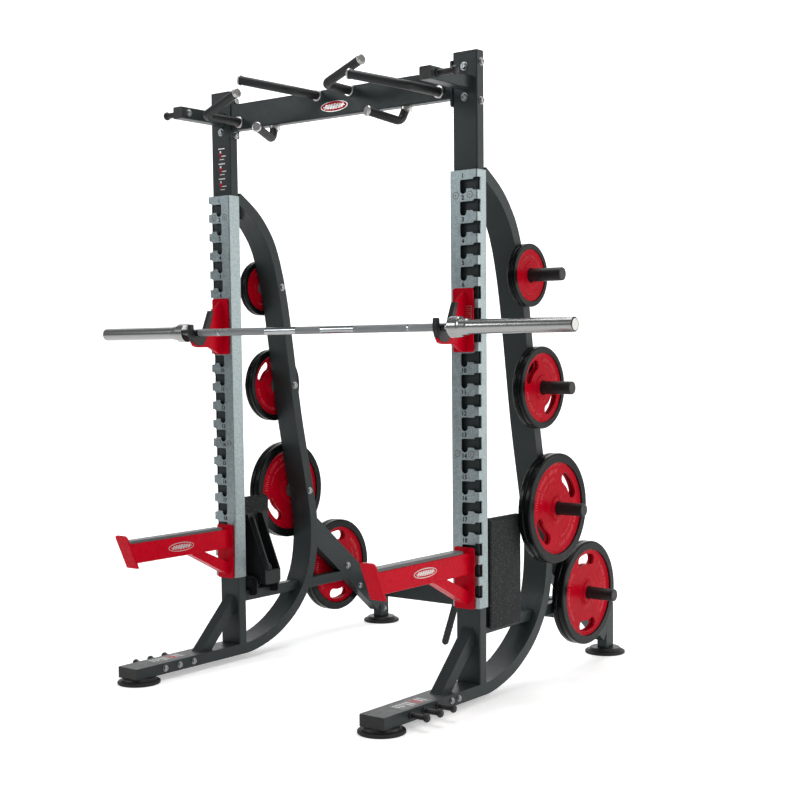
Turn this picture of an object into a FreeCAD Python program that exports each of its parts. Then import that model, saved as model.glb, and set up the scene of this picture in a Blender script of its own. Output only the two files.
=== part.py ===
import FreeCAD, Part
import os, math
from FreeCAD import Vector as V

os.makedirs("parts", exist_ok=True)

# ---------------------------------------------------------------- dimensions
# Millimetres. X is mirrored left/right, -Y is the lifter's side, Z is up.
YC = 241.5            # depth of the box centre behind the upright front face
UP_IN, UP_OUT = 530.0, 630.0      # upright, inner and outer side
UP_D = 42.0           # upright depth
WALL = 3.0
FOOT_TOP, FOOT_BOT = 66.0, 24.0
UP_TOP = 2232.0
FOOT_FRONT = -540.0
BEAM_Z0, BEAM_Z1 = 2084.0, 2184.0
RAIL_Z0, RAIL_Z1 = 336.0, 1838.0
RAIL_IN, RAIL_OUT, RAIL_F, RAIL_T = 526.5, 640.0, -16.6, 3.5
SLOTS = 20
PITCH = 73.4
SLOT1 = 1758.0        # bottom of the highest pocket
POCKET_R = 12.0
POCKET_X = 582.0
BAR_Y, BAR_Z, BAR_R = -153.5, 1306.0, 14.0
BAR_HALF = 1100.0
SLEEVE_R = 24.5
PAD_R = 80.0
PAD_X = 578.5
PAD_YF, PAD_YR = -490.0, 973.0
PEGS = [(285.0, 1491.0, 630.0), (352.0, 1091.0, 630.0),
        (435.0, 646.0, 630.0), (713.0, 290.0, 602.0)]
PLATE_R = [112.0, 149.0, 203.0, 200.0]
PLATE_T = [15.6, 20.0, 24.6, 24.6]
DISC_R = [92.0, 125.0, 169.0, 167.0]
# grip openings: inner and outer radius (of the disc), centre angle, half angle
GRIP = [None, (0.57, 0.87, 137.0, 21.0), (0.60, 0.86, 42.0, 18.0),
        (0.66, 0.90, 92.0, 17.0)]
BOW = [(42, 1833), (104, 1793), (150, 1757), (184, 1720), (216, 1677),
       (247, 1612), (275, 1522), (296, 1431), (324, 1268), (349, 1106),
       (376, 945), (410, 785), (444, 625), (459, 540), (462, 470), (456, 395),
       (434, 306), (393, 230), (338, 168), (272, 119), (201, 82), (120, 57),
       (76, 48.3), (42, 45)]
HINGE_X, HINGE_Z = 550.0, 300.0
LEG_X, LEG_Z, LEG_L = 470.0, 368.0, 204.0

# ---------------------------------------------------------------- helpers


def box(x0, x1, y0, y1, z0, z1):
    return Part.makeBox(x1 - x0, y1 - y0, z1 - z0, V(x0, y0, z0))


def rbox(x0, x1, y0, y1, z0, z1, r, axis):
    b = box(x0, x1, y0, y1, z0, z1)
    es = []
    for e in b.Edges:
        d = (e.Vertexes[1].Point - e.Vertexes[0].Point).normalize()
        if abs(d[axis]) > 0.99:
            es.append(e)
    return b.makeFillet(r, es)


def tube(x0, x1, y0, y1, z0, z1, axis, r=6.0, t=WALL):
    o = rbox(x0, x1, y0, y1, z0, z1, r, axis)
    lo, hi = [x0, y0, z0], [x1, y1, z1]
    for k in range(3):
        if k == axis:
            lo[k] -= 5
            hi[k] += 5
        else:
            lo[k] += t
            hi[k] -= t
    i = rbox(lo[0], hi[0], lo[1], hi[1], lo[2], hi[2], max(r - t, 1.0), axis)
    return o.cut(i)


def cyl(p, d, r, h):
    return Part.makeCylinder(r, h, V(*p), V(*d))


def face_of(pts):
    w = Part.makePolygon([V(*p) for p in pts] + [V(*pts[0])])
    return Part.Face(w)


def prism_x(pts, x0, x1):
    return face_of([(x0, y, z) for y, z in pts]).extrude(V(x1 - x0, 0, 0))


def prism_y(pts, y0, y1):
    return face_of([(x, y0, z) for x, z in pts]).extrude(V(0, y1 - y0, 0))


def prism_z(pts, z0, z1):
    return face_of([(x, y, z0) for x, y in pts]).extrude(V(0, 0, z1 - z0))


def fillet_axis(s, axis, r, pick=None):
    es = []
    for e in s.Edges:
        if len(e.Vertexes) != 2:
            continue
        d = e.Vertexes[1].Point - e.Vertexes[0].Point
        if d.Length < 1e-6:
            continue
        d = d.normalize()
        if abs(d[axis]) > 0.99:
            c = e.CenterOfMass
            if pick is None or pick(c):
                es.append(e)
    return s.makeFillet(r, es) if es else s


def mir(s):
    return s.mirror(V(0, 0, 0), V(1, 0, 0))


def comp(items):
    out = []
    for s in items:
        out.extend(s.Solids)
    return Part.makeCompound(out)


def both(s):
    return comp([s, mir(s)])


DONE = []


def save(name, s):
    s = s.copy()
    s.translate(V(0, -YC, 0))
    if len(s.Solids) == 1:
        s = s.Solids[0]
    s.exportStep("parts/%s.step" % name)
    DONE.append(name)


def revolve_x(prof, y, z):
    """prof: (x, r) points of half a section, turned about the X axis at y, z."""
    f = face_of([(x, y + r, z) for x, r in prof])
    return f.revolve(V(0, y, z), V(1, 0, 0), 360)


def revolve_z(prof, x, y):
    f = face_of([(x + r, y, z) for z, r in prof])
    return f.revolve(V(x, y, 0), V(0, 0, 1), 360)


def bent_rod(pts, r, bend):
    """Round bar through pts with rounded corners."""
    P = [V(*p) for p in pts]
    edges = []
    cur = P[0]
    for k in range(1, len(P) - 1):
        a = (P[k - 1] - P[k]).normalize()
        b = (P[k + 1] - P[k]).normalize()
        ang = a.getAngle(b)
        d = bend / math.tan(ang / 2.0)
        p1 = P[k] + a * d
        p2 = P[k] + b * d
        m = (a + b).normalize()
        c = P[k] + m * (bend / math.sin(ang / 2.0))
        mid = c - m * bend
        edges.append(Part.makeLine(cur, p1))
        edges.append(Part.Arc(p1, mid, p2).toShape())
        cur = p2
    edges.append(Part.makeLine(cur, P[-1]))
    w = Part.Wire(edges)
    d0 = (P[1] - P[0]).normalize()
    ring = Part.Wire([Part.makeCircle(r, P[0], d0)])
    return w.makePipeShell([ring], True, False)


def hexhead(p, d, r, h):
    """Domed bolt head with washer, standing on point p along d."""
    w = cyl(p, d, r, 1.6)
    q = (p[0] + d[0] * 1.6, p[1] + d[1] * 1.6, p[2] + d[2] * 1.6)
    hd = cyl(q, d, r * 0.74, h)
    es = []
    for e in hd.Edges:
        c = e.CenterOfMass - V(*q)
        if abs(c.dot(V(*d)) - h) < 1e-3 and len(e.Vertexes) == 1:
            es.append(e)
    hd = hd.makeFillet(h * 0.55, es)
    sock = cyl((q[0] + d[0] * (h - 2.2), q[1] + d[1] * (h - 2.2),
                q[2] + d[2] * (h - 2.2)), d, r * 0.26, 4)
    return w.fuse(hd).cut(sock)


# ---------------------------------------------------------------- bow curve
def smooth(pts, n):
    bs = Part.BSplineCurve()
    bs.interpolate([V(0, y, z) for y, z in pts])
    L = bs.length()
    out = []
    for k in range(n + 1):
        u = bs.parameterAtDistance(L * k / n)
        p = bs.value(u)
        t = bs.tangent(u)[0]
        out.append((p.y, p.z, t.y, t.z))
    out[-1] = (pts[-1][0], pts[-1][1], -1.0, 0.0)
    return out


SM = smooth(BOW, 64)


def offset(s):
    return [(y + s * (-tz), z + s * ty) for y, z, ty, tz in SM]


def bow_face(h, x, yf):
    """Closed outline of bow and foot at half depth h in the plane x."""
    a = offset(h)
    b = offset(-h)
    ca = Part.BSplineCurve()
    ca.interpolate([V(x, y, z) for y, z in a])
    cb = Part.BSplineCurve()
    cb.interpolate([V(x, y, z) for y, z in b])
    ea, eb = a[-1], b[-1]
    e = [ca.toShape(),
         Part.makeLine(V(x, ea[0], ea[1]), V(x, yf, ea[1])),
         Part.makeLine(V(x, yf, ea[1]), V(x, yf, eb[1])),
         Part.makeLine(V(x, yf, eb[1]), V(x, eb[0], eb[1])),
         cb.toShape(),
         Part.makeLine(V(x, b[0][0], b[0][1]), V(x, a[0][0], a[0][1]))]
    return Part.Face(Part.Wire(Part.__sortEdges__(e)))


def bow_solid(h, x0, x1, yf=FOOT_FRONT):
    return bow_face(h, x0, yf).extrude(V(x1 - x0, 0, 0))


def make_bow_foot():
    o = bow_solid(21.0, UP_IN, UP_OUT)
    i = bow_solid(18.0, UP_IN + WALL, UP_OUT - WALL, FOOT_FRONT - 5)
    blk = box(500, 660, -50, UP_D, 900, 2300)
    return o.cut(i.fuse(blk))


# ================================================================ frame
upright = tube(UP_IN, UP_OUT, 0, UP_D, FOOT_TOP, UP_TOP, 2, 5.0)
save("upright_right", upright)
save("upright_left", mir(upright))

bow = make_bow_foot()
save("bow_foot_right", bow)
save("bow_foot_left", mir(bow))
bow_full = bow_solid(21.0, UP_IN - 1, UP_OUT + 1)

# front foot brace, 45 degrees between foot and upright
bw = 23.0
br = prism_x([(0, 262), (0, 262 - 65), (-196 + 65, FOOT_TOP), (-196, FOOT_TOP)],
             PAD_X - bw, PAD_X + bw)
bi = prism_x([(2, 262 - 4 + 2), (2, 262 - 61 + 2), (-196 + 61 - 2, FOOT_TOP - 2),
              (-196 + 4 - 2, FOOT_TOP - 2)], PAD_X - bw + WALL, PAD_X + bw - WALL)
brace = br.cut(bi)
save("foot_braces", both(brace))

# bow stiffener behind the upright
gus = prism_x([(UP_D, 1779), (UP_D, 1755), (108, 1755), (88, 1779)],
              572, 586).cut(bow_full)
gus = sorted(gus.Solids, key=lambda s: s.BoundBox.YMin)[0]
save("bow_gussets", both(gus))

# rear leg: diagonal tube and short post
DW = 97.0
sl = math.atan(0.826)
ux, uz = math.cos(sl), -math.sin(sl)          # along the diagonal, down and back
nx, nz = math.sin(sl), math.cos(sl)           # across it, up


def strip(p0, w, L0, L1):
    (y, z) = p0
    a = (y + ux * L0, z + uz * L0)
    b = (y + ux * L1, z + uz * L1)
    return [a, b, (b[0] - nx * w, b[1] - nz * w), (a[0] - nx * w, a[1] - nz * w)]


POST_Y0, POST_Y1 = 943.0, 1003.0
dp = (504.0, 529.0)
dia_o = prism_x(strip(dp, DW, -160, 620), 558, 602)
dia_i = prism_x(strip((dp[0] - nx * WALL, dp[1] - nz * WALL), DW - 2 * WALL,
                      -165, 625), 558 + WALL, 602 - WALL)
keep = box(540, 620, 300, POST_Y0, 24, 900)
dia = dia_o.cut(dia_i).common(keep).cut(bow_full)
dia = sorted(dia.Solids, key=lambda s: -s.Volume)[0]
post = rbox(558.5, 601.5, POST_Y0, POST_Y1, 24, 204, 4, 2)
post = post.cut(rbox(558.5 + WALL, 601.5 - WALL, POST_Y0 + WALL, POST_Y1 - WALL,
                     15, 204 - WALL, 2, 2))
rear = comp([dia, post])
save("rear_leg_right", rear)
save("rear_leg_left", mir(rear))
dia_full = dia_o.common(keep)

# lower struts
SZ0, SZ1 = 228.0, 270.0
s1 = tube(558, 600, UP_D, 460, SZ0, SZ1, 1, 4.0).cut(bow_full)
s1 = sorted(s1.Solids, key=lambda s: s.BoundBox.YMin)[0]
s2 = tube(558, 600, 380, 760, SZ0, SZ1, 1, 4.0).cut(bow_full).cut(dia_full)
s2 = sorted([s for s in s2.Solids if s.BoundBox.YMin > 400],
            key=lambda s: s.BoundBox.YMin)[0]
save("lower_struts", comp([s1, s2, mir(s1), mir(s2)]))

# cross beam between the rear posts
rc = tube(-558.5, 558.5, 946, 994, 120, 200, 0, 4.0)
save("rear_cross_beam", rc)

# top beam, flange plates
tb = tube(-522, 522, 0, UP_D, BEAM_Z0, BEAM_Z1, 0, 5.0)
fl = rbox(522, UP_IN, -5, 45, 2057, 2212, 8, 0)
for zz in (2198.5, 2070.0):
    fl = fl.cut(cyl((500, 24, zz), (1, 0, 0), 6.5, 60))
save("top_cross_beam", comp([tb, fl, mir(fl)]))

horn = tube(556, 604, -222, 0, 2110, 2154, 1, 5.0)
horn = horn.cut(cyl((500, -191, 2133), (1, 0, 0), 6.2, 150))
save("top_horns", both(horn))

# ---------------------------------------------------------------- grips
GR = 16.0


def upper_pair():
    a = bent_rod([(475.1, 4, 2112), (470, -192, 2112), (268, -232, 2166)], GR, 34)
    b = bent_rod([(75.8, 4, 2166), (83, -146, 2167), (281, -191, 2219)], GR, 34)
    blk = box(0, 600, 0, 60, 2000, 2300)
    return [a.cut(blk), b.cut(blk)]


def dirn(a, b):
    d = V(*b) - V(*a)
    return d.normalize()


ups = upper_pair()
save("pull_up_grips_upper", comp(ups + [mir(s) for s in ups]))
low = bent_rod([(314, 23, 2084), (307, -1, 2031), (263, -130, 2056)], GR - 1, 26)
low = low.cut(box(200, 400, -200, 100, 2083.9, 2200))
save("pull_up_grips_lower", both(low))

caps = []
for a, b in (((470, -192, 2112), (268, -232, 2166)),
             ((83, -146, 2167), (281, -191, 2219)),
             ((307, -1, 2031), (263, -130, 2056))):
    d = dirn(a, b)
    c = Part.makeCylinder(18.5, 9, V(*b), d)
    es = [e for e in c.Edges if len(e.Vertexes) == 1 and
          abs((e.CenterOfMass - V(*b)).dot(d) - 9) < 1e-3]
    c = c.makeFillet(5.5, es)
    caps.append(c)
for (x, z) in ((475.0, 2112.0), (76.0, 2166.0)):
    ring = Part.makeCylinder(21.5, 12, V(x, -12, z), V(0, 1, 0))
    ring = ring.makeChamfer(2.0, [e for e in ring.Edges if len(e.Vertexes) == 1
                                  and abs(e.CenterOfMass.y + 12) < 1e-3])
    hole = (ups[0] if x > 300 else ups[1])
    ring = ring.cut(hole)
    ring = sorted(ring.Solids, key=lambda s: -s.Volume)[0]
    if z > 2160:
        ring = ring.cut(box(0, 200, -40, 40, BEAM_Z1 + 3, 2300))
    caps.append(ring)
ring = Part.makeCylinder(19.5, 18, V(314, 22, 2066), V(0, 0, 1)).cut(low)
ring = sorted(ring.Solids, key=lambda s: -s.Volume)[0]
caps.append(ring)
save("grip_caps_collars", comp(caps + [mir(s) for s in caps]))

# ---------------------------------------------------------------- band pegs


def band_peg(x0, x1, y, z, rs, rh):
    prof = [(x0, 0), (x0, rs + 4), (x0 + 4, rs + 4), (x0 + 6, rs), (x1 - 22, rs),
            (x1 - 16, rh * 0.86), (x1 - 12, rh), (x1 - 7, rh), (x1 - 2.5, rh * 0.82),
            (x1, rh * 0.4), (x1, 0)]
    return revolve_x(prof, y, z)


bp = [band_peg(604, 684, -191, 2133, 10.5, 15.5)]
for y in (-401.0, -327.0, -253.0):
    bp.append(band_peg(UP_OUT, 704, y, 45, 9.0, 13.5))
save("band_pegs", comp(bp + [mir(s) for s in bp]))

# ---------------------------------------------------------------- storage pegs
bars, sleeves, ends = [], [], []
for (y, z, x0) in PEGS:
    xs = x0 + 163.0
    prof = [(x0, 0), (x0, 33), (x0 + 1.2, 33), (x0 + 1.2, 18), (xs - 14, 18),
            (xs - 14, 0)]
    bars.append(revolve_x(prof, y, z))
    sleeves.append(revolve_x([(x0 + 1.3, 18), (x0 + 1.3, 23.6), (xs - 14, 23.6),
                              (xs - 14, 18)], y, z))
    ends.append(revolve_x([(xs - 14, 0), (xs - 14, 23.0), (xs - 12.8, 23.6),
                           (xs - 3, 23.6), (xs - 0.9, 22.6), (xs, 20.5), (xs, 0)],
                          y, z))
save("peg_bars", comp(bars + [mir(s) for s in bars]))
save("peg_sleeves", comp(sleeves + [mir(s) for s in sleeves]))
save("peg_end_caps", comp(ends + [mir(s) for s in ends]))

# ---------------------------------------------------------------- bolts
bl = []
for zz in (2198.5, 2070.0):
    bl.append(hexhead((UP_OUT, 24, zz), (1, 0, 0), 13.5, 8))
    bl.append(hexhead((522, 24, zz), (-1, 0, 0), 13.5, 8))
for zz in (2187.0, 2084.0):
    bl.append(hexhead((577.5, 0, zz), (0, -1, 0), 14.5, 7))
bl.append(hexhead((556, -191, 2133), (-1, 0, 0), 13.5, 8))
for y in (-401.0, -327.0, -253.0):
    bl.append(hexhead((UP_IN, y, 45), (-1, 0, 0), 12.5, 7))
for y in (-170.0, -129.0):
    bl.append(hexhead((UP_OUT, y, 45), (1, 0, 0), 11.0, 6))
for (y, z, x0) in PEGS[:3]:
    bl.append(hexhead((UP_IN, y, z), (-1, 0, 0), 14.5, 8))
bl.append(hexhead((558, 713, 290), (-1, 0, 0), 14.5, 8))
bl.append(hexhead((558, 797, 190), (-1, 0, 0), 14.5, 8))
bl.append(hexhead((558.5, 970, 60), (-1, 0, 0), 11.0, 7))
save("frame_bolts", comp(bl + [mir(s) for s in bl]))

# ---------------------------------------------------------------- rails
rail = box(RAIL_IN, RAIL_OUT, RAIL_F, 36, RAIL_Z0, RAIL_Z1)
rail = rail.fuse(box(RAIL_IN, RAIL_IN + RAIL_T, 36, 40, RAIL_Z0, RAIL_Z1))
rail = rail.removeSplitter()
rail = fillet_axis(rail, 2, 5.0, lambda c: c.y < RAIL_F + 1)
inner = box(RAIL_IN + RAIL_T, RAIL_OUT - RAIL_T, RAIL_F + RAIL_T, 60,
            RAIL_Z0 - 5, RAIL_Z1 + 5)
inner = fillet_axis(inner, 2, 1.8, lambda c: c.y < 0)
rail = rail.cut(inner)
cuts = []
for k in range(SLOTS):
    zb = SLOT1 - PITCH * k
    p = box(POCKET_X - 13, POCKET_X + 13, RAIL_F - 5, -8, zb + 13, zb + 47.5)
    p = fillet_axis(p, 1, 5.0, lambda c: c.z > zb + 40 and c.x < POCKET_X)
    c0 = cyl((POCKET_X, RAIL_F - 5, zb + 13), (0, 1, 0), 13, 8.6 + 5)
    run = prism_y([(POCKET_X + 8, zb + 17), (618, zb + 17), (624, zb + 11),
                   (650, zb + 11), (650, zb + 54), (626, zb + 54),
                   (620, zb + 47.5), (POCKET_X + 8, zb + 47.5)], RAIL_F - 5, 3)
    cuts.append(p.fuse([c0, run]))
SCREW_Z = [1754.5, 872.5, 368.5]
for zz in SCREW_Z:
    for x in (551.5, 609.0):
        cn = Part.makeCone(11.0, 5.6, RAIL_T + 0.02, V(x, RAIL_F - 0.01, zz), V(0, 1, 0))
        cuts.append(cn)
rail = rail.cut(Part.makeCompound(cuts))
save("hook_rail_right", rail)
save("hook_rail_left", mir(rail))
scr = []
for zz in SCREW_Z:
    for x in (551.5, 609.0):
        hd = Part.makeCone(10.3, 5.3, RAIL_T, V(x, RAIL_F - 0.3, zz), V(0, 1, 0))
        sh = cyl((x, RAIL_F + RAIL_T - 0.3, zz), (0, 1, 0), 4.5, 13.4)
        so = cyl((x, RAIL_F - 1, zz), (0, 1, 0), 3.4, 3.0)
        scr.append(hd.fuse(sh).cut(so))
        sp = cyl((x, RAIL_F + RAIL_T, zz), (0, 1, 0), 9.0, 13.1)
        scr.append(sp.cut(cyl((x, RAIL_F, zz), (0, 1, 0), 4.55, 40)))
save("rail_screws", comp(scr + [mir(s) for s in scr]))

# ---------------------------------------------------------------- foot pads
discs, rubbers = [], []
for y in (PAD_YF, PAD_YR):
    rubbers.append(revolve_z([(0, 0), (0, PAD_R - 2), (2, PAD_R), (9, PAD_R),
                              (12, PAD_R - 4), (12, 0)], PAD_X, y))
    discs.append(revolve_z([(12, 0), (12, 66), (15, 66), (22, 61), (24, 58),
                            (24, 0)], PAD_X, y))
save("foot_pad_rubbers", comp(rubbers + [mir(s) for s in rubbers]))
save("foot_pad_discs", comp(discs + [mir(s) for s in discs]))

# ---------------------------------------------------------------- end caps
ec = []


def plug(x0, x1, z0, z1, y, t=WALL):
    return rbox(x0, x1, y - 4, y, z0, z1, 5, 1).fuse(
        rbox(x0 + t + 0.1, x1 - t - 0.1, y, y + 14, z0 + t + 0.1,
             z1 - t - 0.1, 3, 1))


ec.append(plug(556, 604, 2110, 2154, -222))
ec.append(box(UP_IN + 3.1, UP_OUT - 3.1, FOOT_FRONT, FOOT_FRONT + 14,
              FOOT_BOT + 3.1, FOOT_TOP - 3.1).fuse(
          rbox(UP_IN, UP_OUT, FOOT_FRONT - 4, FOOT_FRONT, FOOT_BOT, FOOT_TOP, 4, 1)))
ec.append(rbox(UP_IN, UP_OUT, 0, UP_D, UP_TOP, UP_TOP + 5, 5, 2).fuse(
    rbox(UP_IN + 3.1, UP_OUT - 3.1, 3.1, UP_D - 3.1, UP_TOP - 14, UP_TOP, 3, 2)))
save("tube_end_caps", comp(ec + [mir(s) for s in ec]))

# ================================================================ J hooks


def slot_z(k):
    return SLOT1 - PITCH * (k - 1) + 12.0


def studs(ks):
    out = []
    for k in ks:
        z = slot_z(k)
        out.append(cyl((POCKET_X, -17.2, z), (0, 1, 0), 11, 5.2))
        out.append(cyl((POCKET_X, -12.4, z), (0, 1, 0), 15.5, 8.0))
    return out


LINER = [(-187, 1335), (-189, 1312), (-187.5, 1297), (-180, 1275), (-168, 1262),
         (-150, 1256.5), (-131, 1257.5), (-120, 1260), (-103, 1290), (-86, 1323),
         (-66, 1387), (-70, 1391), (-81, 1391.5), (-110, 1323), (-132, 1302),
         (-141.5, 1295), (-147, 1292), (-153.5, 1291.0), (-160.5, 1292.2),
         (-167, 1296), (-171, 1303), (-172, 1316), (-173, 1334), (-178, 1337.5),
         (-183, 1337.5)]
LX0, LX1 = 574.0, 592.0
liner = prism_x(LINER, LX0, LX1)
carrier = prism_x([(-179, 1270), (-169, 1255.5), (-151, 1249.5), (-86, 1249.5),
                   (-40, 1225.5), (-22.5, 1224), (-22.5, 1430), (-67, 1391),
                   (-80, 1360), (-115, 1290)], LX0 + 2, LX1 - 2).cut(liner)
carrier = sorted(carrier.Solids, key=lambda q: -q.Volume)[0]
hp = rbox(540, 623, -22.6, -16.9, 1222, 1440, 9, 1)
hook = hp.fuse([carrier] + studs((6, 8)))
hook = hook.removeSplitter()
liner = liner.cut(hook)
liner = sorted(liner.Solids, key=lambda s: -s.Volume)[0]
save("j_hook_right", hook)
save("j_hook_left", mir(hook))
save("hook_liner_right", liner)
save("hook_liner_left", mir(liner))

# ================================================================ safety arms
ap = rbox(538, 621, -22.6, -16.9, 333, 548, 9, 1)
AX0, AX1, AZ0, AZ1 = 556.0, 604.0, 454.0, 530.0


def lean_y(z):
    return -506.0 - (z - 434.0) * 56.0 / 128.0


arm_o = rbox(AX0, AX1, -600, -22.6, AZ0, AZ1, 5, 1)
arm_i = rbox(AX0 + WALL, AX1 - WALL, -605, -25.6, AZ0 + WALL, AZ1 - WALL, 2, 1)
cutter = prism_x([(lean_y(380) + 8, 380), (lean_y(620) + 8, 620), (-700, 620),
                  (-700, 380)], 500, 700)
arm = arm_o.cut(arm_i).cut(cutter)
ep = prism_x([(lean_y(434), 434), (lean_y(562), 562), (lean_y(562) + 8.6, 562),
              (lean_y(434) + 8.6, 434)], 552, 612)
es = []
for e in ep.Edges:
    c = e.CenterOfMass
    if e.Length < 9.5 and c.z > 555:
        es.append(e)
ep = ep.makeFillet(13, es)
es = []
for e in ep.Edges:
    c = e.CenterOfMass
    if e.Length < 9.5 and c.z < 436:
        es.append(e)
if es:
    ep = ep.makeFillet(4, es)
ab = prism_x([(-227, AZ0), (-150, AZ0), (-22.6, 396), (-22.6, 348)], 561, 599)
arm_body = ap.fuse([arm, ep, ab] + studs((18, 20))).removeSplitter()
save("safety_arm_right", arm_body)
save("safety_arm_left", mir(arm_body))
strp = box(558, 602, -540, -60, AZ1, AZ1 + 10)
strp = strp.cut(prism_x([(lean_y(380) + 8.7, 380), (lean_y(640) + 8.7, 640),
                         (-700, 640), (-700, 380)], 500, 700))
strp = fillet_axis(strp, 1, 3.0, lambda c: c.z > AZ1 + 9)
save("arm_strip_right", strp)
save("arm_strip_left", mir(strp))

# ================================================================ barbell
shaft = revolve_x([(-655, 0), (-655, BAR_R), (655, BAR_R), (655, 0)], BAR_Y, BAR_Z)
save("barbell_shaft", shaft)
B0 = BAR_R + 0.08
sleeve = revolve_x([(628.5, B0), (628.5, 35), (631, 36), (664, 36), (668, 33),
                    (671, 29), (694, 28), (699, SLEEVE_R), (1097, SLEEVE_R),
                    (BAR_HALF, SLEEVE_R - 2.5), (BAR_HALF, 0), (655.2, 0),
                    (655.2, B0)], BAR_Y, BAR_Z)
save("barbell_sleeve_right", sleeve)
save("barbell_sleeve_left", mir(sleeve))

# ================================================================ weight plates
BORE = 25.4


def grip_window(y, z, r0, r1, a, half, x0, x1):
    """Rounded slot between two radii, centred on angle a (deg)."""
    pts = []
    n = 14
    for k in range(n + 1):
        t = math.radians(a - half + 2 * half * k / n)
        pts.append((x0, y + r1 * math.cos(t), z + r1 * math.sin(t)))
    for k in range(n + 1):
        t = math.radians(a + half - 2 * half * k / n)
        pts.append((x0, y + r0 * math.cos(t), z + r0 * math.sin(t)))
    s = face_of(pts).extrude(V(x1 - x0, 0, 0))
    rm = (r0 + r1) / 2.0
    rr = (r1 - r0) / 2.0
    for sg in (-1, 1):
        t = math.radians(a + sg * half)
        s = s.fuse(cyl((x0, y + rm * math.cos(t), z + rm * math.sin(t)),
                       (1, 0, 0), rr, x1 - x0))
    return s


DEEP = [6.4, 8.6, 11.0, 11.0]    # dish of the face turned away from its pair
FLAT = [3.0, 3.4, 3.8, 3.8]      # dish of the face turned to its pair


def ring_prof(a, b, D, R, q):
    """Rubber ring section between faces a and b with rounded outer corners."""
    pts = [(a + 1.2, D), (a, D + 2.0)]
    for i in range(6):
        t = math.radians(90.0 * i / 5)
        pts.append((a + q - q * math.cos(t), R - q + q * math.sin(t)))
    for i in range(6):
        t = math.radians(90.0 * (5 - i) / 5)
        pts.append((b - q + q * math.cos(t), R - q + q * math.sin(t)))
    pts += [(b, D + 2.0), (b - 1.2, D)]
    return pts


def disc_face(D, h):
    """Half section of a cast face: hub, step, web at depth h, sloping rim."""
    hub = BORE + 21.0
    return [(0.6, BORE + 1.0), (0.6, BORE + 9.0), (1.6, BORE + 10.5),
            (2.2, hub - 3.0), (h * 0.62, hub), (h * 0.75, hub + 2.0),
            (h, hub + 10.0), (h, D - 12.0), (h * 0.86, D - 8.0),
            (h * 0.62, D - 3.5), (h * 0.58, D - 1.5), (h * 0.58, D)]


def disc_prof(a, b, D, ha, hb):
    left = [(a + 1.4, BORE)] + [(a + u, v) for u, v in disc_face(D, ha)]
    right_ = [(b - u, v) for u, v in reversed(disc_face(D, hb))]
    return left + right_ + [(b - 1.4, BORE)]


for k, (y, z, x0) in enumerate(PEGS):
    R, T, D = PLATE_R[k], PLATE_T[k], DISC_R[k]
    rings, dscs = [], []
    gap = 0.4
    base = x0 + (6.4 if k == 2 else 3.0)
    for j in range(2):
        a = base + j * (T + gap)
        b = a + T
        rg = revolve_x(ring_prof(a, b, D, R, 7.0 if k else 5.0), y, z)
        hs = (DEEP[k], FLAT[k]) if j == 0 else (FLAT[k], DEEP[k])
        ds = revolve_x(disc_prof(a, b, D, hs[0], hs[1]), y, z)
        if GRIP[k] is not None:
            r0, r1, mid, half = GRIP[k]
            for g in (0.0, 180.0):
                w = grip_window(y, z, D * r0, D * r1, mid + g, half,
                                a - 5, b + 5)
                ds = ds.cut(w)
        rings.append(rg)
        dscs.append(ds)
    save("plate_discs_right_%d" % (k + 1), comp(dscs))
    save("plate_discs_left_%d" % (k + 1), mir(comp(dscs)))
    save("plate_rings_right_%d" % (k + 1), comp(rings))
    save("plate_rings_left_%d" % (k + 1), mir(comp(rings)))

# ================================================================ platforms
PX0, PX1, PY0, PY1, PZ0, PZ1 = 602.0, 634.0, 62.0, 262.0, 250.0, 642.0
GM = 6.0      # grip mat thickness


def platform():
    board = box(PX0, PX1, PY0, PY1, PZ0, PZ1)
    board = fillet_axis(board, 1, 15.0, lambda c: c.z > PZ1 - 1)
    board = fillet_axis(board, 0, 10.0)
    core = box(PX0 + 2.5, PX1 - GM, PY0 + 5, PY1 - 5, PZ0 + 5, PZ1 - GM)
    core = core.fuse(box(PX0, PX1 - GM, PY0 + 5, PY1 - 5, PZ0 + 5, 575))
    mat = board.cut(core).cut(box(PX0 - 1, PX1 - GM, PY0 - 1, PY1 + 1,
                                  PZ0 - 1, 575))
    mat = sorted(mat.Solids, key=lambda s: -s.Volume)[0]
    ribs = []
    for yc in (113.0, 197.0):
        r = prism_y([(PX0, PZ0 + 8), (PX0, 573), (580, 573), (487, 350), (487, 300),
                     (515, 300), (538, 282), (564, 282), (580, PZ0 + 24)],
                    yc - 3, yc + 3)
        r = r.cut(cyl((HINGE_X, yc - 10, HINGE_Z), (0, 1, 0), 8.05, 20))
        ribs.append(r)
    stop = box(487, 515, 116, 194, 294, 350)
    core = core.fuse(ribs + [stop]).removeSplitter()
    return core, mat


pf, pm = platform()
# swing clearance over the strut and bracket is kept by the cut rib foot
pf = pf.cut(box(556, 604, 100, 215, SZ0 - 20, SZ1 + 12))
pin_hole = cyl((LEG_X, 95, LEG_Z), (0, 1, 0), 6.0, 30)
EAR = prism_y([(LEG_X - 12, LEG_Z - 14), (LEG_X + 12, LEG_Z - 14), (506, 372),
               (514, 414.7), (LEG_X - 4, LEG_Z + 14), (LEG_X - 12, LEG_Z + 8)],
              110, 116)
EAR = EAR.cut(cyl((LEG_X, 100, LEG_Z), (0, 1, 0), 6.05, 30))
pf = pf.fuse(EAR).removeSplitter()
pf = sorted(pf.Solids, key=lambda s: -s.Volume)[0]
save("platform_frame_right", pf)
save("platform_frame_left", mir(pf))
save("platform_mat_right", pm)
save("platform_mat_left", mir(pm))


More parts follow.
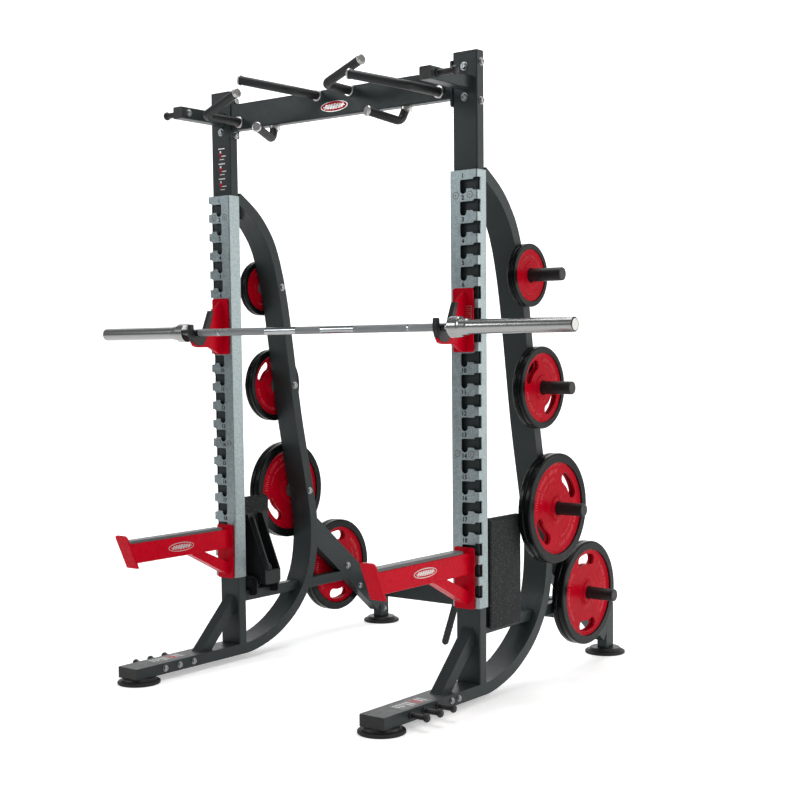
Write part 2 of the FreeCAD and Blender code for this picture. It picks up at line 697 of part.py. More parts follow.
def leg(ang):
    """Flat prop bar pointing ang degrees from straight down, inwards."""
    L = LEG_L
    b = box(-12, 12, 100, 108, -L, 0)
    b = b.fuse([cyl((0, 100, 0), (0, 1, 0), 12, 8),
                cyl((0, 100, -L), (0, 1, 0), 12, 8),
                cyl((0, 97, 0), (0, 1, 0), 10, 3),
                cyl((0, 108, 0), (0, 1, 0), 6.0, 9)])
    b = b.fuse(cyl((0, 117, 0), (0, 1, 0), 9, 3))
    b = b.removeSplitter()
    b.rotate(V(0, 0, 0), V(0, 1, 0), ang)
    b.translate(V(LEG_X, 0, LEG_Z))
    return b


# the right leg hangs ready, the left one is folded up along its rib
save("platform_leg_right", leg(18.2))
save("platform_leg_left", mir(leg(180.0 + 22.6)))

hg = []
for (a, b) in ((90.0, 96.0), (214.0, 220.0)):
    p = prism_y([(600, 270), (600, 311), (597, 319), (590, 328), (532, 328), (515, 312),
                 (515, 262), (526, 250), (558, 250), (558, 270)], a, b)
    p = p.cut(cyl((HINGE_X, a - 5, HINGE_Z), (0, 1, 0), 8.05, 20))
    hg.append(p)
pin = cyl((HINGE_X, 86, HINGE_Z), (0, 1, 0), 8.0, 138)
pin = pin.fuse([cyl((HINGE_X, 83, HINGE_Z), (0, 1, 0), 13, 6.9),
                cyl((HINGE_X, 220.1, HINGE_Z), (0, 1, 0), 13, 6.9)])
hg.append(pin)
save("platform_hinges", comp(hg + [mir(s) for s in hg]))

print(len(DONE), "nodes")
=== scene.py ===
import math
import bpy
import bmesh
from mathutils import Vector, Matrix


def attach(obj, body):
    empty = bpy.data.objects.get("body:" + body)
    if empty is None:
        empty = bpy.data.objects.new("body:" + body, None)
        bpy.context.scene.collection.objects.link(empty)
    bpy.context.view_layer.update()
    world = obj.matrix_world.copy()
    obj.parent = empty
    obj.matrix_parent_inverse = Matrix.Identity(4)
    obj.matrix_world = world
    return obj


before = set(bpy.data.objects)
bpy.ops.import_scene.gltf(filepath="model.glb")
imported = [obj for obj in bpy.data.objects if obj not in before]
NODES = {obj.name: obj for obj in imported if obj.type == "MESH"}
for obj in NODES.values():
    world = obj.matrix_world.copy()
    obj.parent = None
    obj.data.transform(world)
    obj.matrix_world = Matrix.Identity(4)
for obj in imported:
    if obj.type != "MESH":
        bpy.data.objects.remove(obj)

YC = 0.2415
scene = bpy.context.scene


def P(x, y, z):
    """Measuring frame in mm to the row frame in m."""
    return Vector((x / 1000.0, y / 1000.0 - YC, z / 1000.0))


# ------------------------------------------------------------------ materials
class Mat:
    def __init__(self, name):
        self.m = bpy.data.materials.new(name)
        self.m.use_nodes = True
        self.t = self.m.node_tree
        self.t.nodes.clear()
        self.out = self.t.nodes.new("ShaderNodeOutputMaterial")
        self.b = self.t.nodes.new("ShaderNodeBsdfPrincipled")
        self.t.links.new(self.b.outputs[0], self.out.inputs[0])
        self.tc = self.t.nodes.new("ShaderNodeTexCoord")

    def n(self, kind, **kw):
        x = self.t.nodes.new(kind)
        for k, v in kw.items():
            setattr(x, k, v)
        return x

    def l(self, a, b):
        self.t.links.new(a, b)

    def noise(self, scale, detail=3.0, rough=0.5, stretch=None):
        x = self.n("ShaderNodeTexNoise")
        x.inputs["Scale"].default_value = scale
        x.inputs["Detail"].default_value = detail
        x.inputs["Roughness"].default_value = rough
        if stretch:
            mp = self.n("ShaderNodeMapping")
            mp.inputs["Scale"].default_value = stretch
            self.l(self.tc.outputs["Object"], mp.inputs["Vector"])
            self.l(mp.outputs[0], x.inputs["Vector"])
        else:
            self.l(self.tc.outputs["Object"], x.inputs["Vector"])
        return x.outputs["Fac"]

    def ramp(self, src, stops):
        r = self.n("ShaderNodeValToRGB")
        e = r.color_ramp.elements
        while len(e) < len(stops):
            e.new(0.5)
        for k, (p, c) in enumerate(stops):
            e[k].position = p
            e[k].color = (c[0], c[1], c[2], 1) if hasattr(c, "__len__") else (c, c, c, 1)
        self.l(src, r.inputs[0])
        return r.outputs[0]

    def remap(self, src, a, b, c, d):
        r = self.n("ShaderNodeMapRange")
        for k, v in ((1, a), (2, b), (3, c), (4, d)):
            r.inputs[k].default_value = v
        self.l(src, r.inputs[0])
        return r.outputs[0]

    def bump(self, height, strength, dist, normal=None):
        x = self.n("ShaderNodeBump")
        x.inputs["Strength"].default_value = strength
        x.inputs["Distance"].default_value = dist
        self.l(height, x.inputs["Height"])
        if normal is not None:
            self.l(normal, x.inputs["Normal"])
        return x.outputs[0]

    def bevel(self, radius, samples=4):
        x = self.n("ShaderNodeBevel", samples=samples)
        x.inputs["Radius"].default_value = radius
        return x.outputs[0]

    def math(self, op, a, b=None):
        x = self.n("ShaderNodeMath", operation=op)
        for k, v in enumerate((a, b)):
            if v is None:
                continue
            if isinstance(v, (int, float)):
                x.inputs[k].default_value = v
            else:
                self.l(v, x.inputs[k])
        return x.outputs[0]

    def set(self, base=None, metallic=0.0, rough=0.5, coat=0.0, coat_rough=0.1,
            normal=None, spec=0.5, ior=1.5):
        b = self.b
        if base is not None:
            if hasattr(base, "__len__"):
                b.inputs["Base Color"].default_value = (base[0], base[1], base[2], 1)
            else:
                self.l(base, b.inputs["Base Color"])
        b.inputs["Metallic"].default_value = metallic
        if isinstance(rough, (int, float)):
            b.inputs["Roughness"].default_value = rough
        else:
            self.l(rough, b.inputs["Roughness"])
        b.inputs["Coat Weight"].default_value = coat
        b.inputs["Coat Roughness"].default_value = coat_rough
        b.inputs["Specular IOR Level"].default_value = spec
        b.inputs["IOR"].default_value = ior
        if normal is not None:
            self.l(normal, b.inputs["Normal"])
        return self.m


def m_frame():
    m = Mat("frame_powder")
    bev = m.bevel(0.0012)
    peel = m.noise(420, 2.0)
    nrm = m.bump(peel, 0.10, 0.0004, bev)
    big = m.noise(3.0, 2.0)
    col = m.ramp(big, [(0.35, (0.017, 0.0235, 0.0245)), (0.65, (0.021, 0.0285, 0.0295))])
    r = m.remap(m.noise(60, 3.0), 0.3, 0.7, 0.36, 0.44)
    return m.set(col, 0.0, r, 0.0, 0.25, nrm, 0.30, 1.42)


def m_red(name="red_gloss", base=(0.48, 0.0008, 0.012), ior=1.20):
    m = Mat(name)
    bev = m.bevel(0.0013)
    peel = m.noise(230, 2.0)
    nrm = m.bump(peel, 0.09, 0.0006, bev)
    big = m.noise(9.0, 2.0)
    d = (base[0] * 0.92, base[1], base[2])
    col = m.ramp(big, [(0.3, d), (0.7, base)])
    r = m.remap(m.noise(40, 2.0), 0.3, 0.7, 0.24, 0.32)
    return m.set(col, 0.0, r, 0.0, 0.14, nrm, 0.26, ior)


def m_galv():
    m = Mat("galvanised_rail")
    bev = m.bevel(0.0009)
    v = m.n("ShaderNodeTexVoronoi")
    v.inputs["Scale"].default_value = 190.0
    v.inputs["Randomness"].default_value = 1.0
    m.l(m.tc.outputs["Object"], v.inputs["Vector"])
    sep = m.n("ShaderNodeSeparateColor")
    m.l(v.outputs["Color"], sep.inputs[0])
    streak = m.noise(30, 3.0, 0.5, (3.0, 3.0, 0.35))
    mixed = m.math("ADD", m.math("MULTIPLY", sep.outputs[0], 0.55),
                   m.math("MULTIPLY", streak, 0.45))
    col = m.ramp(mixed, [(0.2, (0.22, 0.262, 0.272)), (0.5, (0.26, 0.305, 0.315)),
                         (0.8, (0.31, 0.36, 0.37))])
    r = m.remap(mixed, 0.2, 0.8, 0.32, 0.42)
    nrm = m.bump(m.noise(420, 2.0), 0.16, 0.0005, bev)
    return m.set(col, 1.0, r, 0.0, 0.1, nrm)


def m_steel(name, base, rough, scale=200):
    m = Mat(name)
    bev = m.bevel(0.0006)
    nrm = m.bump(m.noise(scale, 2.0), 0.05, 0.0003, bev)
    r = m.remap(m.noise(90, 2.0), 0.3, 0.7, rough - 0.05, rough + 0.06)
    return m.set(base, 1.0, r, 0.0, 0.1, nrm)


def m_shaft():
    """Chromed bar with crossed knurling in bands along X."""
    m = Mat("bar_knurl")
    sep = m.n("ShaderNodeSeparateXYZ")
    m.l(m.tc.outputs["Object"], sep.inputs[0])
    x = sep.outputs[0]
    y = m.math("SUBTRACT", sep.outputs[1], -0.1535 - YC)
    z = m.math("SUBTRACT", sep.outputs[2], 1.306)
    ang = m.math("ARCTAN2", z, y)
    a = m.math("MULTIPLY", ang, 30.0)
    xx = m.math("MULTIPLY", x, 2100.0)
    s1 = m.math("ABSOLUTE", m.math("SINE", m.math("ADD", xx, a)))
    s2 = m.math("ABSOLUTE", m.math("SINE", m.math("SUBTRACT", xx, a)))
    kn = m.math("MINIMUM", s1, s2)
    ax = m.math("ABSOLUTE", x)

    def band(lo, hi):
        up = m.math("GREATER_THAN", ax, lo)
        dn = m.math("LESS_THAN", ax, hi)
        return m.math("MULTIPLY", up, dn)
    b = m.math("ADD", band(-1.0, 0.060), band(0.212, 0.448))
    b = m.math("ADD", b, band(0.456, 0.560))
    k = m.math("MULTIPLY", kn, b)
    nrm = m.bump(k, 0.85, 0.0005, m.bevel(0.0005))
    r = m.remap(b, 0.0, 1.0, 0.16, 0.34)
    col = m.ramp(b, [(0.0, (0.36, 0.375, 0.38)), (1.0, (0.25, 0.26, 0.265))])
    return m.set(col, 1.0, r, 0.0, 0.1, nrm)


def m_sleeve():
    """Polished sleeve; a dark ring of painted shadow runs round the end face where a groove's shade falls.
    """
    m = Mat("bar_sleeve")
    sep = m.n("ShaderNodeSeparateXYZ")
    m.l(m.tc.outputs["Object"], sep.inputs[0])
    y = m.math("SUBTRACT", sep.outputs[1], -0.1535 - YC)
    z = m.math("SUBTRACT", sep.outputs[2], 1.306)
    rad = m.math("SQRT", m.math("ADD", m.math("MULTIPLY", y, y), m.math("MULTIPLY", z, z)))
    # painted shadow: the end face is coloured near-black outside 19 mm radius to stand for the shade in a
    # groove
    end = m.math("GREATER_THAN", m.math("ABSOLUTE", sep.outputs[0]), 1.0985)
    rim = m.math("MULTIPLY", end, m.math("GREATER_THAN", rad, 0.0190))
    rings = m.noise(1.0, 2.0, 0.6, (900.0, 1.0, 1.0))
    r = m.remap(rings, 0.3, 0.7, 0.19, 0.25)
    col = m.ramp(rim, [(0.0, (0.34, 0.34, 0.335)), (1.0, (0.012, 0.012, 0.012))])
    return m.set(col, 1.0, r, 0.0, 0.1, m.bevel(0.0008))


def m_rubber(name, base, rough, scale=700, strength=0.12, dist=0.0004, lo=0.9,
             spec=0.36, ior=1.45):
    m = Mat(name)
    nz = m.noise(scale, 3.0)
    nrm = m.bump(nz, strength, dist, m.bevel(0.0012))
    d = tuple(c * lo for c in base)
    col = m.ramp(m.noise(24, 3.0), [(0.3, d), (0.7, base)])
    r = m.remap(m.noise(50, 2.0), 0.3, 0.7, rough - 0.05, rough + 0.05)
    return m.set(col, 0.0, r, 0.0, 0.1, nrm, spec, ior)


def m_mat():
    """Anti-slip grit sheet: dark, with fine light specks."""
    m = Mat("grip_grit")
    a = m.noise(520, 4.0, 0.7)
    v = m.n("ShaderNodeTexVoronoi")
    v.inputs["Scale"].default_value = 230.0
    m.l(m.tc.outputs["Object"], v.inputs["Vector"])
    spk = m.ramp(v.outputs["Distance"], [(0.0, 1.0), (0.34, 0.0)])
    spm = m.math("MULTIPLY", spk, m.ramp(a, [(0.47, 0.0), (0.56, 1.0)]))
    mix = m.n("ShaderNodeMix", data_type="RGBA")
    m.l(spm, mix.inputs[0])
    mix.inputs[6].default_value = (0.006, 0.0085, 0.008, 1)
    mix.inputs[7].default_value = (0.26, 0.29, 0.28, 1)
    nrm = m.bump(a, 0.55, 0.0012, m.bevel(0.002))
    r = m.remap(a, 0.3, 0.7, 0.55, 0.85)
    return m.set(mix.outputs[2], 0.0, r, 0.0, 0.1, nrm, 0.25)


# stamped ink for the slot numbers; the same near-black also paints the shadow round the rail screws
def m_ink_and_shade():
    m = Mat("stamped_ink_and_painted_shade")
    col = m.ramp(m.noise(300, 2.0), [(0.3, (0.010, 0.010, 0.011)), (0.7, (0.016, 0.016, 0.017))])
    return m.set(col, 0.0, 0.6, spec=0.2)


MAT = {
    "frame": m_frame(),
    "red": m_red(),
    "disc": m_red("disc_red", (0.40, 0.0008, 0.010), 1.17),
    "galv": m_galv(),
    "shaft": m_shaft(),
    "sleeve": m_sleeve(),
    "satin": m_steel("satin_steel", (0.50, 0.49, 0.475), 0.32),
    "bolt": m_steel("bolt_steel", (0.30, 0.31, 0.315), 0.34),
    "peg": m_steel("peg_bar", (0.50, 0.50, 0.50), 0.34),
    "grip": m_rubber("grip_sleeve", (0.012, 0.013, 0.014), 0.48, 900, 0.25, 0.0004),
    "rubber": m_rubber("plate_rubber", (0.0035, 0.0045, 0.0045), 0.24, 300, 0.02, 0.0003, spec=0.3, ior=1.3),
    "foot": m_rubber("foot_rubber", (0.012, 0.012, 0.013), 0.62),
    "plastic": m_rubber("black_plastic", (0.012, 0.011, 0.011), 0.42, 600, 0.08),
    "liner": m_rubber("liner_plastic", (0.009, 0.010, 0.011), 0.36, 500, 0.06),
    "black": m_rubber("black_paint", (0.011, 0.013, 0.014), 0.42, 400, 0.08),
    "strip": m_rubber("strip_plastic", (0.075, 0.082, 0.085), 0.42, 500, 0.06),
    "mat": m_mat(),
    "ink_and_shade": m_ink_and_shade(),
    # the raised disc marks get a lighter red than the disc: a painted highlight
    "cast_highlight": m_red("disc_marks_painted_highlight", (0.62, 0.045, 0.06), 1.40),
}
USE = {}
for n in NODES:
    if n.startswith(("upright", "bow_foot", "foot_braces", "rear_", "lower_strut",
                     "top_cross", "top_horns", "bow_gussets")):
        USE[n] = "frame"
    elif n.startswith("pull_up"):
        USE[n] = "grip"
    elif n.startswith("grip_caps"):
        USE[n] = "satin"
    elif n.startswith(("frame_bolts", "rail_screws")):
        USE[n] = "bolt"
    elif n.startswith("hook_rail"):
        USE[n] = "galv"
    elif n.startswith("foot_pad_rub"):
        USE[n] = "foot"
    elif n.startswith("peg_bars"):
        USE[n] = "peg"
    elif n.startswith(("j_hook", "safety_arm")):
        USE[n] = "red"
    elif n.startswith("hook_liner"):
        USE[n] = "liner"
    elif n.startswith("arm_strip"):
        USE[n] = "strip"
    elif n == "barbell_shaft":
        USE[n] = "shaft"
    elif n.startswith("barbell_sleeve"):
        USE[n] = "sleeve"
    elif n.startswith("platform_mat"):
        USE[n] = "mat"
    elif n.startswith("platform"):
        USE[n] = "black"
    elif n.startswith("plate_discs"):
        USE[n] = "disc"
    elif n.startswith("plate_rings"):
        USE[n] = "rubber"
    else:
        USE[n] = "plastic"
for n, o in NODES.items():
    o.data.materials.clear()
    o.data.materials.append(MAT[USE[n]])

# ------------------------------------------------------------------ small pieces


def piece(name, verts, faces, mat, body, smooth=False):
    me = bpy.data.meshes.new(name)
    me.from_pydata([tuple(v) for v in verts], [], faces)
    me.validate()
    bm = bmesh.new()
    bm.from_mesh(me)
    bmesh.ops.recalc_face_normals(bm, faces=bm.faces)
    for f in bm.faces:
        f.smooth = smooth
    bm.to_mesh(me)
    bm.free()
    o = bpy.data.objects.new(name, me)
    scene.collection.objects.link(o)
    me.materials.append(MAT[mat])
    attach(o, body)
    return o


class Build:
    """Collects closed shells in measuring-frame mm."""

    def __init__(self):
        self.v, self.f = [], []

    def shell(self, rings):
        """rings: equal-length point loops, bottom to top, capped at both ends."""
        n = len(rings[0])
        b = len(self.v)
        for r in rings:
            self.v.extend(P(*p) for p in r)
        for k in range(len(rings) - 1):
            for i in range(n):
                j = (i + 1) % n
                a = b + k * n
                self.f.append((a + i, a + j, a + n + j, a + n + i))
        self.f.append(tuple(b + i for i in range(n)))
        self.f.append(tuple(b + (len(rings) - 1) * n + i for i in range(n)))

    def slab(self, outline, o, e1, e2, nn, t, chamfer=0.15):
        """Flat plate: 2D outline in e1, e2 from o, thickness t along nn."""
        cx = sum(p[0] for p in outline) / len(outline)
        cy = sum(p[1] for p in outline) / len(outline)

        def ring(h, inset):
            r = []
            for a, c in outline:
                L = math.hypot(a - cx, c - cy) or 1.0
                k = 1.0 - inset / L
                u, v = cx + (a - cx) * k, cy + (c - cy) * k
                r.append(tuple(o[i] + e1[i] * u + e2[i] * v + nn[i] * h
                               for i in range(3)))
            return r
        self.shell([ring(-0.2, 0), ring(t - chamfer, 0), ring(t, chamfer)])

    def bead(self, pts, r, step=4.0):
        """Rippled weld bead along a polyline."""
        path = []
        for k in range(len(pts) - 1):
            a, c = Vector(pts[k]), Vector(pts[k + 1])
            n = max(2, int((c - a).length / step))
            for i in range(n):
                path.append(a.lerp(c, i / n))
        path.append(Vector(pts[-1]))
        rings = []
        for k, p in enumerate(path):
            d = (path[min(k + 1, len(path) - 1)] - path[max(k - 1, 0)]).normalized()
            h = Vector((0, 0, 1)) if abs(d.z) < 0.9 else Vector((1, 0, 0))
            u = d.cross(h).normalized()
            w = d.cross(u)
            rr = r * (1.0 if k % 2 else 0.82)
            if k in (0, len(path) - 1):
                rr *= 0.5
            rings.append([tuple(p + u * rr * math.cos(t) + w * rr * math.sin(t))
                          for t in [math.tau * i / 8 for i in range(8)]])
        self.shell(rings)

    def make(self, name, mat, body, slot, smooth=False):
        return piece(name, self.v, self.f, mat, body, smooth)


def oval(a, b, n=40, p=2.0):
    return [(a * abs(math.cos(t)) ** (2 / p) * (1 if math.cos(t) >= 0 else -1),
             b * abs(math.sin(t)) ** (2 / p) * (1 if math.sin(t) >= 0 else -1))
            for t in [math.tau * i / n for i in range(n)]]


def rrect(w, h, r, n=5):
    out = []
    for sx, sy, t0 in ((1, 1, 0), (-1, 1, 90), (-1, -1, 180), (1, -1, 270)):
        for i in range(n + 1):
            t = math.radians(t0 + 90.0 * i / n)
            out.append((sx * (w / 2 - r) + r * math.cos(t), sy * (h / 2 - r) + r * math.sin(t)))
    return out


def shift(pts, dx, dy):
    return [(x + dx, y + dy) for x, y in pts]


# plain oval badges: bright rim, red field, slanted bars
def badge(tag, o, e1, e2, nn, a, b, body):
    s, f, m = Build(), Build(), Build()
    s.slab(oval(a, b), o, e1, e2, nn, 0.9, 0.4)
    f.slab(oval(a - 3.2, b - 3.0), o, e1, e2, nn, 1.15, 0.1)
    for k in range(-3, 4):
        w, h, sl = a * 0.075, b * (0.52 - 0.045 * abs(k)), b * 0.22
        c = k * a * 0.20
        m.slab([(c - w + sl, h), (c - w - sl, -h), (c + w - sl, -h), (c + w + sl, h)],
               o, e1, e2, nn, 1.4, 0.05)
    m.slab([(-a * 0.8, 1.4), (-a * 0.8, -1.4), (a * 0.8, -1.4), (a * 0.8, 1.4)],
           o, e1, e2, nn, 1.42, 0.05)
    s.make("badge_rim_" + tag, "satin", body, "satin_steel")
    f.make("badge_field_" + tag, "red", body, "red_coat")
    m.make("badge_bars_" + tag, "satin", body, "satin_steel")


badge("beam", (1.0, 0, 2119.5), (1, 0, 0), (0, 0, 1), (0, -1, 0), 64, 19.5, "frame")
badge("arm_right", (604.0, -280.0, 495.0), (0, 1, 0), (0, 0, 1), (1, 0, 0), 64, 16.5,
      "arm_right")
badge("arm_left", (-556.0, -281.0, 491.0), (0, 1, 0), (0, 0, 1), (1, 0, 0), 66, 17.5,
      "arm_left")

# slot numbers stamped on the rails
for side, sg in (("right", 1), ("left", -1)):
    v, f = [], []
    for k in range(20):
        cu = bpy.data.curves.new("num", "FONT")
        cu.body = str(k + 1)
        cu.size = 0.0215
        cu.offset = 0.0007
        cu.extrude = 0.00025
        cu.align_x = "CENTER"
        cu.align_y = "CENTER"
        cu.resolution_u = 3
        ob = bpy.data.objects.new("num", cu)
        scene.collection.objects.link(ob)
        dg = bpy.context.evaluated_depsgraph_get()
        me = bpy.data.meshes.new_from_object(ob.evaluated_get(dg))
        c = P(sg * 580.0, -16.7, 1758.0 - 73.4 * k + 60.5)
        b = len(v)
        for q in me.vertices:
            v.append((c.x + q.co.x, c.y - q.co.z, c.z + q.co.y))
        for q in me.polygons:
            f.append(tuple(b + i for i in q.vertices))
        bpy.data.objects.remove(ob)
        bpy.data.curves.remove(cu)
        bpy.data.meshes.remove(me)
    piece("slot_numbers_" + side, v, f, "ink_and_shade", "frame")

# painted shadow: a near-black bead round each countersunk rail screw stands for the shade in its gap
for side, sg in (("right", 1), ("left", -1)):
    for i, z in enumerate((1754.5, 872.5, 368.5)):
        for j, x in enumerate((551.5, 609.0)):
            w = Build()
            w.bead([(sg * x + 11.2 * math.cos(math.tau * q / 20), -16.55,
                     z + 11.2 * math.sin(math.tau * q / 20)) for q in range(20)]
                   + [(sg * x + 11.2, -16.55, z)], 0.75, 2.0)
            w.make("screw_gap_%s_%d%d" % (side, i + 1, j + 1), "ink_and_shade", "frame",
                   "black_plastic", True)

# small plates: hook data plates, foot plates, exercise card
for side, sg in (("right", 1), ("left", -1)):
    b, t = Build(), Build()
    o = (sg * 603.5, -22.6, 1356.0)
    b.slab(rrect(31, 49, 3), o, (1, 0, 0), (0, 0, 1), (0, -1, 0), 0.6, 0.2)
    for k, (w, dx) in enumerate(((21, 0), (16, -2), (21, 0), (11, -4), (19, -1), (14, 3))):
        t.slab(shift(rrect(w, 3.0, 0.8, 2), dx, 17.5 - 7.0 * k), o, (1, 0, 0), (0, 0, 1),
               (0, -1, 0), 0.75, 0.05)
    b.make("hook_plate_" + side, "satin", "hook_" + side, "satin_steel")
    t.make("hook_plate_marks_" + side, "red", "hook_" + side, "red_coat")

    b, t, r = Build(), Build(), Build()
    o = (sg * 586.0, -345.0, 66.0)
    b.slab(rrect(64, 170, 4), o, (1, 0, 0), (0, 1, 0), (0, 0, 1), 0.5, 0.15)
    for k in range(9):
        w = (46, 38, 50, 30, 44, 50, 26, 40, 34)[k]
        (r if k in (2, 3) else t).slab(
            shift(rrect(w, 5.0 if k != 2 else 13.0, 1.2, 2), (w - 50) / 2.0, 66 - 16.5 * k),
            o, (1, 0, 0), (0, 1, 0), (0, 0, 1), 0.65, 0.05)
    b.make("foot_plate_" + side, "strip", "frame", "strip_grey")
    t.make("foot_plate_marks_" + side, "satin", "frame", "satin_steel")
    r.make("foot_plate_band_" + side, "red", "frame", "red_coat")

b, t, r = Build(), Build(), Build()
o = (-577.0, 0.0, 1941.0)
b.slab(rrect(70, 182, 4), o, (1, 0, 0), (0, 0, 1), (0, -1, 0), 0.5, 0.15)
for k in range(3):
    zc = 60 - 58.0 * k
    for w, h, dx, dz in ((34, 4, 0, 20), (8, 8, -6, 8), (22, 3.2, -6, 1), (5, 17, -6, -9),
                         (24, 3, 12, -9), (26, 2.5, 2, -21)):
        (r if (w == 22 or h == 17) else t).slab(
            shift(rrect(w, h, 1.1, 2), dx, zc + dz), o, (1, 0, 0), (0, 0, 1), (0, -1, 0),
            0.65, 0.05)
b.make("exercise_card", "black", "frame", "black_paint")
t.make("exercise_card_marks", "satin", "frame", "satin_steel")
r.make("exercise_card_figures", "red", "frame", "red_coat")

# raised marks cast into the webs of the discs; their lighter red is a painted highlight
PEG = [(285.0, 1491.0, 630.0, 15.6, 92.0, 6.4, 3.0), (352.0, 1091.0, 630.0, 20.0, 125.0, 8.6, 3.0),
       (435.0, 646.0, 630.0, 24.6, 169.0, 11.0, 6.4), (713.0, 290.0, 602.0, 24.6, 167.0, 11.0, 3.0)]
ROWS = [[(80, 56, 0.72, 9.0), (262, 24, 0.72, 7.0)],
        [(47, 42, 0.80, 13.0), (47, 34, 0.63, 8.0), (227, 42, 0.80, 13.0)],
        [(134, 44, 0.82, 17.0), (134, 36, 0.66, 10.0), (316, 40, 0.82, 17.0),
         (316, 30, 0.66, 10.0)],
        [(4, 46, 0.82, 17.0), (4, 36, 0.66, 10.0), (183, 44, 0.82, 17.0)]]
for side, sg in (("right", 1), ("left", -1)):
    for k, (yc, zc, x0, T, D, dp, off) in enumerate(PEG):
        m = Build()
        base = x0 + off
        for xw, nx in ((base + 2 * T + 0.4 - dp, sg), (base + dp, -sg)):
            for mid, span, rr, ln in ROWS[k]:
                step = math.degrees(0.52 * ln / (rr * D))
                n = int(span / step)
                for i in range(-n, n + 1):
                    if i % 9 == 4:
                        continue
                    t = math.radians(mid + i * step)
                    er = (0, math.cos(t), math.sin(t))
                    et = (0, -math.sin(t), math.cos(t))
                    o = (sg * xw, yc + rr * D * er[1], zc + rr * D * er[2])
                    h = ln * (0.5, 0.34, 0.5, 0.42, 0.5)[i % 5]
                    w = ln * 0.10
                    m.slab([(h, w), (-h, w), (-h, -w), (h, -w)], o, er, et,
                           (nx, 0, 0), 1.3, 0.4)
        # painted highlight: the marks use a lighter red than the disc web
        m.make("disc_marks_%s_%d" % (side, k + 1), "cast_highlight", "plates_%s_%d" % (side, k + 1),
               "disc_red")

# weld beads where the tubes meet
for side, sg in (("right", 1), ("left", -1)):
    w = Build()
    w.bead([(sg * 556, -0.6, 2110), (sg * 556, -0.6, 2154), (sg * 604, -0.6, 2154),
            (sg * 604, -0.6, 2110), (sg * 556, -0.6, 2110)], 2.6)
    for x in (555.5, 601.5):
        w.bead([(sg * x, -0.6, 198), (sg * x, -0.6, 261)], 2.6)
        w.bead([(sg * x, -195, 66.6), (sg * x, -132, 66.6)], 2.6)
    w.bead([(sg * 556, -0.6, 262.5), (sg * 601, -0.6, 262.5)], 2.6)
    w.bead([(sg * 556, -196.5, 66.5), (sg * 601, -196.5, 66.5)], 2.6)
    for x in (558, 600):
        w.bead([(sg * x, 42.6, 230), (sg * x, 42.6, 268)], 2.4)
    w.bead([(sg * 571.5, 43, 1757), (sg * 571.5, 43, 1777)], 2.2)
    w.bead([(sg * 586.5, 43, 1757), (sg * 586.5, 43, 1777)], 2.2)
    w.bead([(sg * 532, 43.5, 1804), (sg * 628, 43.5, 1804)], 3.0)
    w.bead([(sg * 532, 42.6, 67.5), (sg * 628, 42.6, 67.5)], 2.8)
    w.make("welds_" + side, "frame", "frame", "frame_grey", True)
    w = Build()
    w.bead([(sg * 555.5, -23.2, 456), (sg * 555.5, -23.2, 528)], 2.4)
    w.bead([(sg * 604.5, -23.2, 456), (sg * 604.5, -23.2, 528)], 2.4)
    w.bead([(sg * 560.5, -23.2, 350), (sg * 560.5, -23.2, 394)], 2.4)
    w.bead([(sg * 599.5, -23.2, 350), (sg * 599.5, -23.2, 394)], 2.4)
    w.bead([(sg * 562, -223, 453.6), (sg * 562, -154, 453.6)], 2.2)
    w.bead([(sg * 598, -223, 453.6), (sg * 598, -154, 453.6)], 2.2)
    w.make("welds_arm_" + side, "red", "arm_" + side, "red_coat", True)
    w = Build()
    w.bead([(sg * 575.5, -23.2, 1232), (sg * 575.5, -23.2, 1426)], 2.4)
    w.bead([(sg * 590.5, -23.2, 1232), (sg * 590.5, -23.2, 1426)], 2.4)
    w.make("welds_hook_" + side, "red", "hook_" + side, "red_coat", True)

# ------------------------------------------------------------------ camera
az, el, ro = math.radians(37.925), math.radians(4.633), math.radians(-0.604)
fwd = Vector((-math.sin(az) * math.cos(el), math.cos(az) * math.cos(el), -math.sin(el)))
right = Vector((math.cos(az), math.sin(az), 0))
up = right.cross(fwd)
r2 = right * math.cos(ro) + up * math.sin(ro)
u2 = up * math.cos(ro) - right * math.sin(ro)
cd = bpy.data.cameras.new("camera")
cam = bpy.data.objects.new("camera", cd)
scene.collection.objects.link(cam)
M = Matrix((r2, u2, -fwd)).transposed().to_4x4()
M.translation = P(3314.783, -3932.546, 1232.163)
cam.matrix_world = M
cd.sensor_width = 36.0
cd.lens = 36.0 * 1386.66 / 800.0
cd.shift_x = (400.0 - 392.048) / 800.0
cd.shift_y = (462.3 - 400.0) / 800.0
cd.clip_end = 100
scene.camera = cam

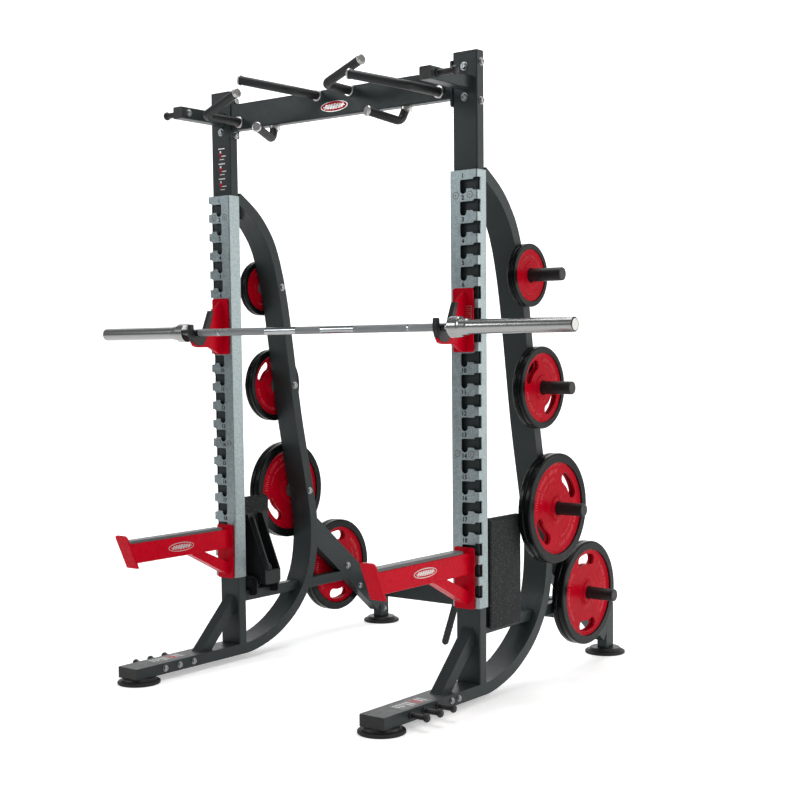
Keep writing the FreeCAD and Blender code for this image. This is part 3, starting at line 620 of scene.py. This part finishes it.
# ------------------------------------------------------------------ stage
ax_f = Vector((fwd.x, fwd.y, 0)).normalized()
ax_r = Vector((right.x, right.y, 0)).normalized()
prof = [(-9.0, 0.0), (3.0, 0.0)]
for i in range(1, 25):
    t = math.radians(90.0 * i / 24)
    prof.append((3.0 + 3.2 * math.sin(t), 3.2 - 3.2 * math.cos(t)))
prof.append((6.2, 9.0))
vs, fs = [], []
for u, h in prof:
    for w in (-12.0, 12.0):
        q = ax_f * u + ax_r * w
        vs.append((q.x, q.y, h))
for i in range(len(prof) - 1):
    fs.append((2 * i, 2 * i + 1, 2 * i + 3, 2 * i + 2))
me = bpy.data.meshes.new("floor")
me.from_pydata(vs, [], fs)
for f in me.polygons:
    f.use_smooth = True
floor = bpy.data.objects.new("floor", me)
scene.collection.objects.link(floor)
fm = Mat("floor_pale")
me.materials.append(fm.set((0.88, 0.88, 0.88), 0.0, 0.8, spec=0.1))
fm.b.inputs["Emission Color"].default_value = (1, 1, 1, 1)
fm.b.inputs["Emission Strength"].default_value = 0.36

world = bpy.data.worlds.new("studio")
scene.world = world
world.use_nodes = True
bg = world.node_tree.nodes["Background"]
bg.inputs[0].default_value = (0.96, 0.98, 1.0, 1)
bg.inputs[1].default_value = 0.24


def area(name, loc, target, size, power, color=(1, 1, 1), sy=None):
    ld = bpy.data.lights.new(name, "AREA")
    ld.energy = power
    ld.color = color
    ld.size = size
    if sy:
        ld.shape = "RECTANGLE"
        ld.size_y = sy
    lt = bpy.data.objects.new(name, ld)
    scene.collection.objects.link(lt)
    lt.location = loc
    d = Vector(target) - Vector(loc)
    lt.rotation_mode = "QUATERNION"
    lt.rotation_quaternion = d.to_track_quat("-Z", "Y")
    return lt


area("front_left", (-3.6, -4.6, 3.6), (0, 0, 1.0), 1.6, 70, (0.95, 0.98, 1.0))
area("right_panel", (4.3, 2.6, 2.1), (0, 0, 1.1), 4.2, 110, (1.0, 0.985, 0.95), sy=3.6)
area("right_front", (5.6, -1.6, 3.4), (0, 0, 0.9), 1.8, 60, (1.0, 0.985, 0.96))
area("back_wash", (-1.5, 2.8, 4.6), (-3.5, 5.2, 1.2), 3.0, 110)
area("top", (0.0, 0.2, 5.6), (0, 0, 0), 3.4, 175)
scene.view_settings.view_transform = "Standard"
scene.view_settings.look = "None"
scene.view_settings.exposure = 0.0

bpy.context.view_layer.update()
